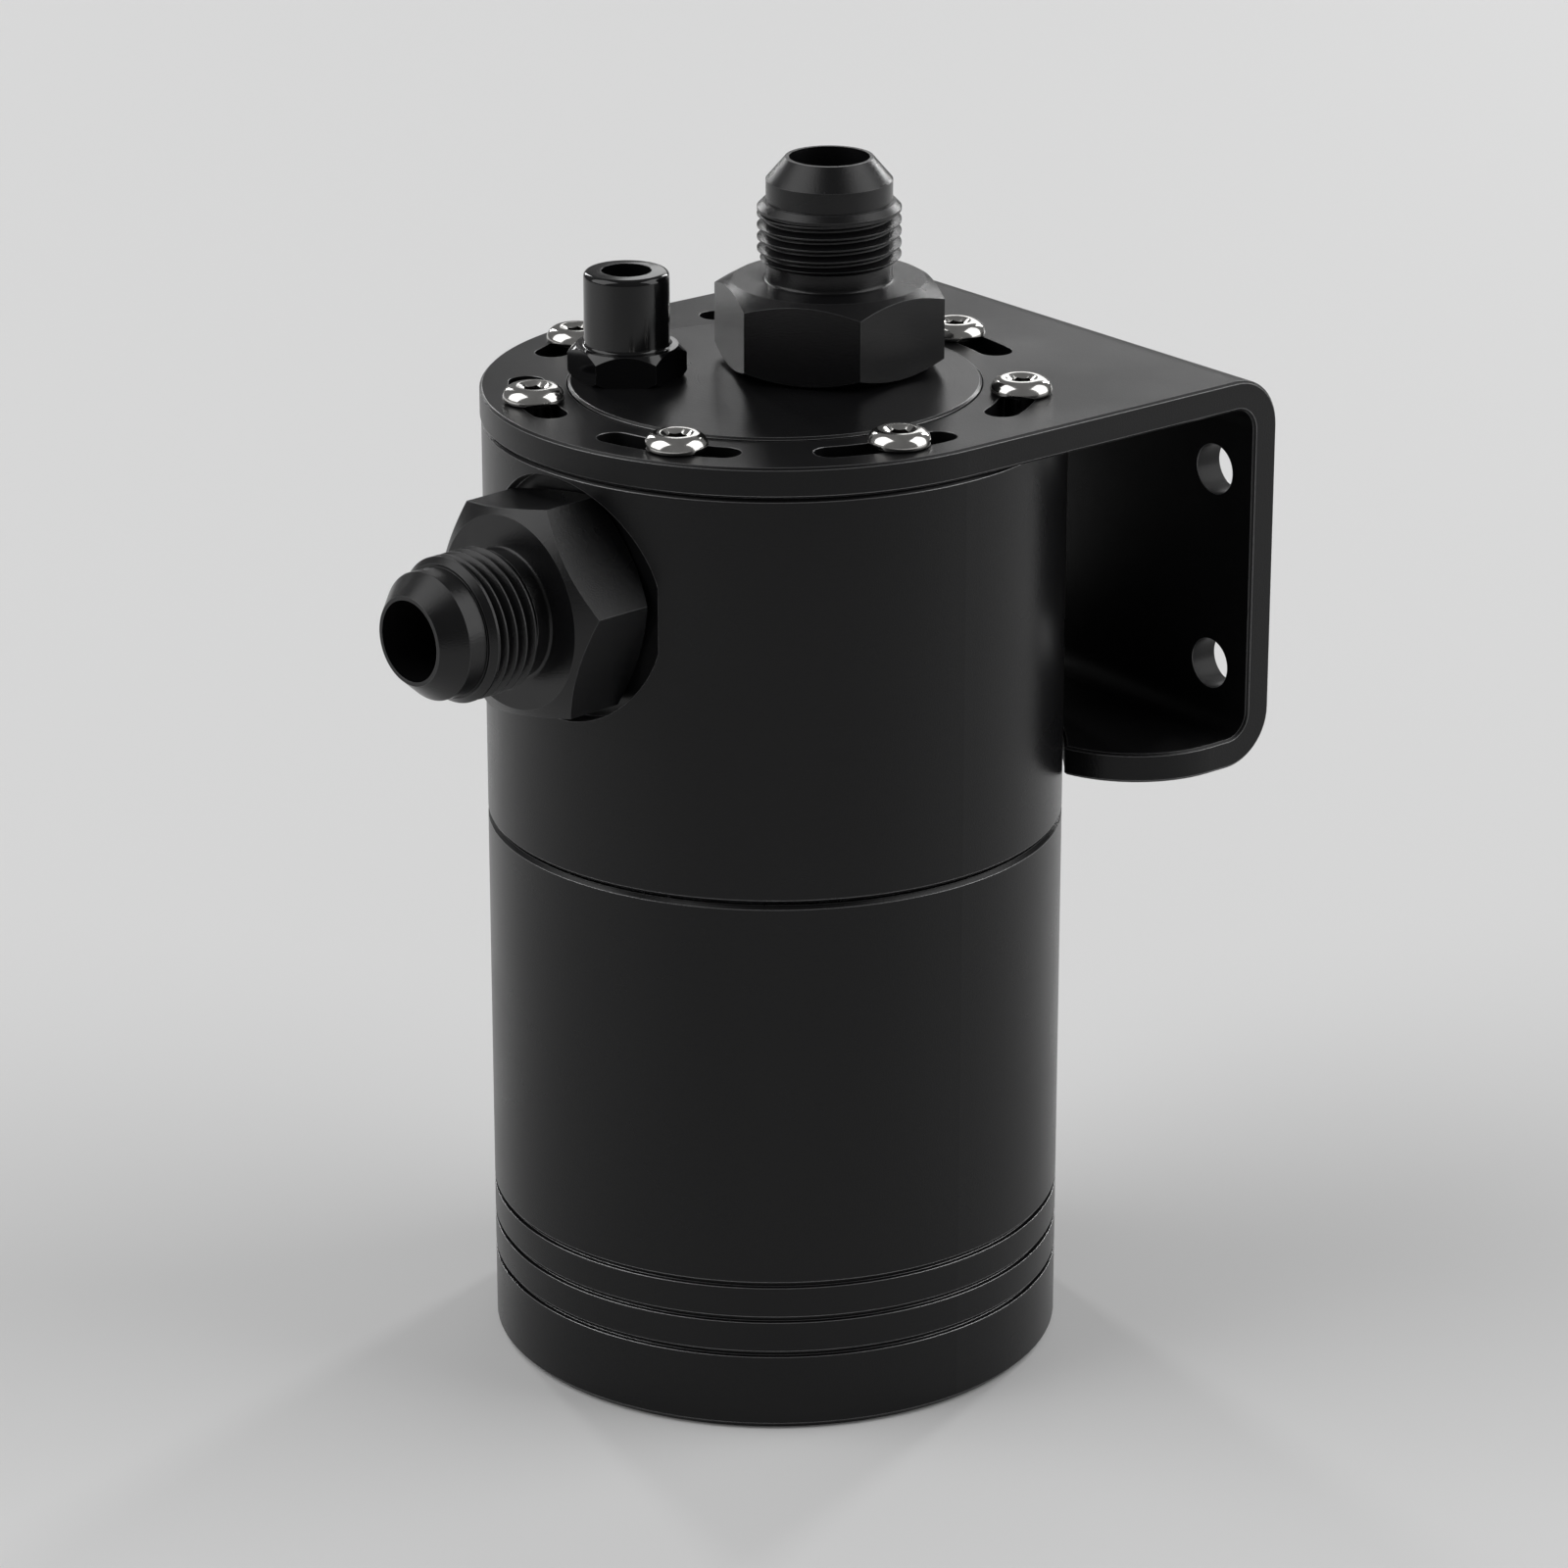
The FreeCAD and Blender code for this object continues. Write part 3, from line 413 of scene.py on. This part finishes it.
def flare_fitting(name):
    """Fitting standing on the end of its stem, on the Z axis. The groove is cut back at
    its start, so the first turn below the cone stays whole. The thread is cut last: if
    it is cut before the hex is joined, faces are left inside the hex."""
    fitting = turn_up(name, [
        (FLARE_THREAD - FLARE_FOOT, 0.0),
        (FLARE_THREAD, FLARE_FOOT),
        (FLARE_THREAD, FLARE_STEM - FLARE_RELIEF),
        (FLARE_UNDERCUT, FLARE_STEM - FLARE_RELIEF),
        (FLARE_UNDERCUT, FLARE_STEM + FLARE_FILLET),
        (FLARE_NECK + FLARE_FILLET, FLARE_STEM + FLARE_FILLET),
        *corner_arc(FLARE_NECK + FLARE_FILLET, FLARE_HEX_TOP + FLARE_FILLET, FLARE_FILLET,
                    270, 180),
        (FLARE_NECK, THREAD_LOW),
        (FLARE_THREAD - THREAD_CHAMFER, THREAD_LOW),
        (FLARE_THREAD, THREAD_LOW + THREAD_CHAMFER),
        (FLARE_THREAD, THREAD_HIGH - THREAD_CHAMFER),
        (FLARE_THREAD - THREAD_CHAMFER, THREAD_HIGH),
        (FLARE_NECK, THREAD_HIGH),
        (FLARE_NECK, CONE_LOW),
        (CONE_TIP, FLARE_END),
    ])
    join(fitting, "UNION",
         hex_body(name + "_hex", FLARE_HEX, FLARE_HEX_FACE, FLARE_HEX_FACE, HEX_CHAMFER_SLOPE,
                  FLARE_STEM, FLARE_HEX_TOP))
    bore_out(fitting, FLARE_BORE, FLARE_END)
    groove = thread_groove(name + "_groove", FLARE_THREAD, THREAD_LOW, THREAD_HIGH)
    join(groove, "DIFFERENCE", turn_up(name + "_start", [
        (FLARE_NECK - START_SPARE, START_LOW),
        (FLARE_THREAD + START_SPARE, START_HIGH),
        (FLARE_THREAD + START_SPARE, FLARE_END + PAST_GROOVE)]))
    join(fitting, "DIFFERENCE", groove)
    return fitting


def centre_of(node):
    """Centre of a node's foot, in the frame."""
    low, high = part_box(node)
    return Vector(((low.x + high.x) / 2, (low.y + high.y) / 2, low.z))


def mount(name):
    """Place and direction of one of the part's mounts."""
    found = next(each for each in frame["record"]["mounts"] if each["name"] == name)
    return Vector(found["pos_m"]), Vector(found["axis"])


TOP_HEX_TURN = math.radians(35.45)
SIDE_HEX_TURN = math.radians(38.5)
THREAD_MIDDLE = 0.0211

top_spot = centre_of("top_fitting")
top_place = Matrix.Translation(top_spot) @ Matrix.Rotation(TOP_HEX_TURN, 4, "Z")
side_mount, side_axis = mount("side_flare")
side_spot = side_mount - side_axis * (THREAD_MIDDLE + FLARE_STEM)
side_turn = Euler((0.0, math.radians(90), math.atan2(side_axis.y, side_axis.x)))
side_place = Matrix.Translation(side_spot) @ side_turn.to_matrix().to_4x4() @ Matrix.Rotation(
    SIDE_HEX_TURN, 4, "Z")

# Edge colour of the fittings: partly worn dye, partly painted highlight.
FITTING_EDGE_WEAR_AND_HIGHLIGHT = (0.16, 0.16, 0.162)
for node, place, centre, turn in (
        ("top_fitting", top_place, top_spot, Euler()),
        ("side_fitting", side_place, side_spot, side_turn)):
    material, tree, shader, bump = grained_finish(
        node + "_black", BLACK_DYE, FITTING_EDGE_WEAR_AND_HIGHLIGHT, roughness=(0.22, 0.29), grain_scale=4200.0,
        pit_depth=0.00004, edge_width=0.00007, gloss=0.38, bare=0.4)
    add_turned_lines(tree, shader, bump, line_scale=7000.0, line_depth=0.000006,
                     centre=centre, turn=turn)
    piece = flare_fitting(node + "_threaded")
    finish_piece(piece, place, "head", node, material)


# Nipple: a plain aluminium tube turned with a small hex, and screwed into the boss
# beside the top fitting. It isn't blasted before it goes into the dye, so it is far
# glossier than the rest.
NIPPLE_BORE = 0.00385
NIPPLE_THREAD = 0.006
NIPPLE_FOOT = 0.0007
NIPPLE_STEM = 0.010
NIPPLE_RELIEF = 0.002
NIPPLE_UNDERCUT = NIPPLE_THREAD - 0.0008
NIPPLE_HEX = 0.625 * INCH
NIPPLE_HEX_FACE = 0.0078975
NIPPLE_HEX_FOOT = 0.0085
NIPPLE_HEX_TOP = NIPPLE_STEM + 0.0049
NIPPLE_CHAMFER_SLOPE = 1.025
NIPPLE_TUBE = 0.0066
NIPPLE_ROOT = 0.0005
NIPPLE_EDGE = 0.0009
NIPPLE_END = NIPPLE_STEM + 0.0165
NIPPLE_TURN = math.radians(50.75)
GLOSSY_DYE = (0.004, 0.004, 0.0045)
# Edge colour of the nipple: partly worn dye, partly painted highlight.
GLOSSY_EDGE_WEAR_AND_HIGHLIGHT = (0.05, 0.05, 0.052)

nipple = turn_up("nipple", [
    (NIPPLE_THREAD - NIPPLE_FOOT, 0.0),
    (NIPPLE_THREAD, NIPPLE_FOOT),
    (NIPPLE_THREAD, NIPPLE_STEM - NIPPLE_RELIEF),
    (NIPPLE_UNDERCUT, NIPPLE_STEM - NIPPLE_RELIEF),
    (NIPPLE_UNDERCUT, NIPPLE_STEM + NIPPLE_ROOT),
    (NIPPLE_TUBE + NIPPLE_ROOT, NIPPLE_STEM + NIPPLE_ROOT),
    *corner_arc(NIPPLE_TUBE + NIPPLE_ROOT, NIPPLE_HEX_TOP + NIPPLE_ROOT, NIPPLE_ROOT, 270, 180),
    *corner_arc(NIPPLE_TUBE - NIPPLE_EDGE, NIPPLE_END - NIPPLE_EDGE, NIPPLE_EDGE, 0, 90),
])
join(nipple, "UNION", hex_body("nipple_hex", NIPPLE_HEX, NIPPLE_HEX_FOOT, NIPPLE_HEX_FACE,
                               NIPPLE_CHAMFER_SLOPE, NIPPLE_STEM, NIPPLE_HEX_TOP))
bore_out(nipple, NIPPLE_BORE, NIPPLE_END)

gloss_black = grained_finish(
    "gloss_black", GLOSSY_DYE, GLOSSY_EDGE_WEAR_AND_HIGHLIGHT, roughness=(0.09, 0.14), grain_scale=5000.0,
    pit_depth=0.000002, edge_width=0.00008, gloss=0.5, bare=0.4)[0]
nipple_place = Matrix.Translation(centre_of("stub_fitting")) @ Matrix.Rotation(
    NIPPLE_TURN, 4, "Z")
finish_piece(nipple, nipple_place, "head", "stub_fitting", gloss_black)


# Screws: seven polished stainless button heads, which hold the head to the bracket
# through its slots. Each hex socket has a turned lead with a bright ring at its mouth,
# and below the lead it is painted dark, as painted shade. Smaller screws hold the inner pieces.
METAL_CLOUDS = 400.0
METAL_EDGE = 0.00008


def bare_metal(name, duller, brighter, roughness):
    """Uncoated metal with a faintly uneven colour and shine."""
    material, tree, shader = start_material(name)
    where = put(tree, "ShaderNodeTexCoord", {}).outputs["Object"]
    skin = put(tree, "ShaderNodeGroup", {}, node_tree=BLASTED)
    tree.links.new(where, skin.inputs["Vector"])
    skin.inputs["Cloud Scale"].default_value = METAL_CLOUDS
    edges = put(tree, "ShaderNodeGroup", {}, node_tree=EDGE_MASK_GROUP)
    edges.inputs["Width"].default_value = METAL_EDGE
    shader.inputs["Metallic"].default_value = 1.0
    tree.links.new(mixed(tree, skin.outputs["Cloud"], duller, brighter),
                   shader.inputs["Base Color"])
    tree.links.new(between(tree, skin.outputs["Cloud"], *roughness), shader.inputs["Roughness"])
    tree.links.new(edges.outputs["Normal"], shader.inputs["Normal"])
    return material, tree, shader


SCREW_COUNT = 7
SCREW_HEAD = 0.00475
SCREW_RISE = 0.00245
SCREW_RIM = 0.00055
SCREW_SHOULDER = SCREW_RISE - SCREW_RIM
SCREW_DOME_STEPS = 14
SCREW_SHANK = 0.0025
SCREW_TIP = 0.7 * SCREW_SHANK
SCREW_TAPER = 0.3 * SCREW_SHANK
SCREW_REACH = 0.014
SCREW_KEY = 0.003
SCREW_HEX = SCREW_KEY / math.sqrt(3)
SCREW_SOCKET = 0.0016
SOCKET_MOUTH = 0.0024
SOCKET_LEAD = 0.00065
SOCKET_BREAK = 0.0001
SOCKET_SPARE = 0.0002
# Dark colour painted deep in the screw sockets, as painted shade.
SOCKET_PAINTED_SHADE = (0.16, 0.155, 0.15)
MOUTH_HEIGHT_SLACK = 0.00001
MOUTH_RADIUS_SLACK = 0.00005
SEAT_LIFT = 0.00001

screw = turn_up("screw", [
    (SCREW_TIP, -SCREW_REACH),
    (SCREW_SHANK, SCREW_TAPER - SCREW_REACH),
    (SCREW_SHANK, 0.0),
    *corner_arc(SCREW_HEAD - SCREW_RIM, SCREW_RIM, SCREW_RIM, -90, 0),
    *corner_arc(SCREW_HEAD - SCREW_SHOULDER, SCREW_RIM, SCREW_SHOULDER, 0, 90,
                steps=SCREW_DOME_STEPS)[1:],
])
join(screw, "DIFFERENCE",
     prism("screw_socket", SCREW_KEY, SCREW_RISE - SCREW_SOCKET, SCREW_RISE + PAST_END))
lead_slope = (SOCKET_MOUTH - SCREW_KEY / 2) / SOCKET_LEAD
join(screw, "DIFFERENCE", turn_up("screw_lead", [
    (SCREW_KEY / 2, SCREW_RISE - SOCKET_LEAD),
    (SOCKET_MOUTH + lead_slope * SOCKET_SPARE, SCREW_RISE + SOCKET_SPARE)]))
open_mesh(screw)
bpy.ops.mesh.select_all(action="DESELECT")
bpy.ops.mesh.select_mode(type="EDGE")
bpy.ops.object.mode_set(mode="OBJECT")
for edge in screw.data.edges:
    ends = [screw.data.vertices[index].co for index in edge.vertices]
    edge.select = all(end.z > SCREW_RISE - MOUTH_HEIGHT_SLACK
                      and end.xy.length < SOCKET_MOUTH + MOUTH_RADIUS_SLACK for end in ends)
bpy.ops.object.mode_set(mode="EDIT")
bpy.ops.mesh.bevel(offset=SOCKET_BREAK, segments=3, affect="EDGES")
bpy.ops.object.mode_set(mode="OBJECT")
# Faces deep in the hex socket are marked for painted shade.
socket_painted_shade = screw.data.attributes.new("socket_painted_shade", "FLOAT", "FACE")
for face in screw.data.polygons:
    inside = face.center.xy.length < SCREW_HEX and 0 < face.center.z < SCREW_RISE - SOCKET_LEAD
    socket_painted_shade.data[face.index].value = float(inside)

polished_steel, steel_tree, steel_shader = bare_metal(
    "polished_steel", (0.60, 0.59, 0.57), (0.72, 0.71, 0.69), roughness=(0.10, 0.17))
# Painted shade: the socket's faces take a dark colour that stands in for the shade in the recess.
socket_shade_mask = put(steel_tree, "ShaderNodeAttribute", {}, attribute_name="socket_painted_shade").outputs["Fac"]
steel_colour = steel_shader.inputs["Base Color"]
steel_tree.links.new(
    mixed(steel_tree, socket_shade_mask, steel_colour.links[0].from_socket, SOCKET_PAINTED_SHADE), steel_colour)

for index in range(SCREW_COUNT):
    node = f"bracket_screw_{index + 1}"
    spot = centre_of(node)
    spot.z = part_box("mounting_bracket")[1].z + SEAT_LIFT
    copy = screw.copy()
    copy.data = screw.data.copy()
    copy.name = f"button_screw_{index + 1}"
    bpy.context.scene.collection.objects.link(copy)
    turn = Matrix.Rotation(math.atan2(spot.y, spot.x), 4, "Z")
    finish_piece(copy, Matrix.Translation(spot) @ turn, "head", node, polished_steel)
bpy.data.objects.remove(screw)

inner_screws = [name for name in frame["nodes"] if "_screw_" in name and "bracket" not in name]
dress(polished_steel, *inner_screws)


# Inner pieces: rubber O-rings in their grooves, a brass mesh filter in turned aluminium
# under the top port, a splash plate screwed over the bowl, and a bent steel sheet that
# turns the inlet's stream down the wall.
rubber = grained_finish(
    "seal_rubber", (0.015, 0.015, 0.015), (0.03, 0.03, 0.03), roughness=(0.6, 0.75),
    grain_scale=3000.0, pit_depth=0.00002, edge_width=0.0001, gloss=0.4, bare=0.0)[0]
dress(rubber, "reservoir_seal", "top_fitting_seal", "side_fitting_seal", "stub_seal")

machined = bare_metal(
    "machined_aluminium", (0.66, 0.66, 0.67), (0.75, 0.75, 0.76), roughness=(0.28, 0.4))[0]
dress(machined, "filter_collar", "filter_cap", "baffle_plate")

sheet_steel = bare_metal(
    "sheet_steel", (0.52, 0.52, 0.52), (0.6, 0.6, 0.6), roughness=(0.35, 0.5))[0]
dress(sheet_steel, "inlet_deflector")

brass_mesh = bare_metal(
    "brass_mesh", (0.62, 0.46, 0.22), (0.72, 0.55, 0.28), roughness=(0.25, 0.4))[0]
dress(brass_mesh, "filter_screen")


# Floor and light: a pale seamless sheet of paper, lit by two large soft boxes at the
# sides, two narrow ones behind that draw the rims, and one behind for the plate's top.
FLOOR_SIZE = 30.0
FLOOR_COLOUR = (0.78, 0.78, 0.78, 1.0)
FLOOR_ROUGHNESS = 0.9
SKY_COLOUR = (0.8, 0.8, 0.8, 1.0)
SKY_STRENGTH = 0.2
VIEW_TURN = math.radians(50.75)
TO_RIGHT = Vector((math.cos(VIEW_TURN), math.sin(VIEW_TURN), 0.0))
TO_BACK = Vector((-math.sin(VIEW_TURN), math.cos(VIEW_TURN), 0.0))
AIM = Vector((0.0, 0.0, 0.15))

bpy.ops.mesh.primitive_plane_add(size=FLOOR_SIZE)
floor = bpy.context.active_object
floor.name = "floor"
floor_material, _, floor_shader = start_material("floor_paper")
floor_shader.inputs["Base Color"].default_value = FLOOR_COLOUR
floor_shader.inputs["Roughness"].default_value = FLOOR_ROUGHNESS
floor.data.materials.append(floor_material)

world = bpy.data.worlds.new("studio")
world.use_nodes = True
bpy.context.scene.world = world
sky = world.node_tree.nodes["Background"]
sky.inputs["Color"].default_value = SKY_COLOUR
sky.inputs["Strength"].default_value = SKY_STRENGTH


def softbox(name, right, back, up, width, height, power):
    """Rectangular lamp that looks at the can. Its place is given as the camera sees it."""
    data = bpy.data.lights.new(name, "AREA")
    data.shape = "RECTANGLE"
    data.size = width
    data.size_y = height
    data.energy = power
    lamp = bpy.data.objects.new(name, data)
    place = right * TO_RIGHT + back * TO_BACK + Vector((0, 0, up))
    look = (AIM - place).to_track_quat("-Z", "Y")
    lamp.matrix_world = Matrix.Translation(place) @ look.to_matrix().to_4x4()
    bpy.context.scene.collection.objects.link(lamp)


softbox("left_box", right=-1.23, back=-0.20, up=1.11, width=1.4, height=1.9, power=16.0)
softbox("right_box", right=1.38, back=-0.03, up=0.92, width=1.4, height=1.9, power=16.0)
softbox("left_rim", right=-0.80, back=1.55, up=0.78, width=0.19, height=0.80, power=5.0)
softbox("right_rim", right=0.93, back=1.44, up=0.78, width=0.19, height=0.80, power=6.0)
softbox("back_box", right=0.62, back=2.5, up=1.1, width=1.5, height=0.8, power=5.5)


# Camera: the photograph's view, 20 degrees down on the can through a long lens, with
# the bracket's leg to the right.
CAMERA_PLACE = Vector((0.668292, -0.544208, 0.4097))
CAMERA_TILT = math.radians(69.65)
CAMERA_LENS = 134.47
CAMERA_SENSOR = 36.0

camera_data = bpy.data.cameras.new("camera")
camera_data.lens = CAMERA_LENS
camera_data.sensor_width = CAMERA_SENSOR
camera = bpy.data.objects.new("camera", camera_data)
camera.location = CAMERA_PLACE
camera.rotation_euler = (CAMERA_TILT, 0.0, VIEW_TURN)
bpy.context.scene.collection.objects.link(camera)
bpy.context.scene.camera = camera
bpy.context.scene.view_settings.view_transform = "Standard"
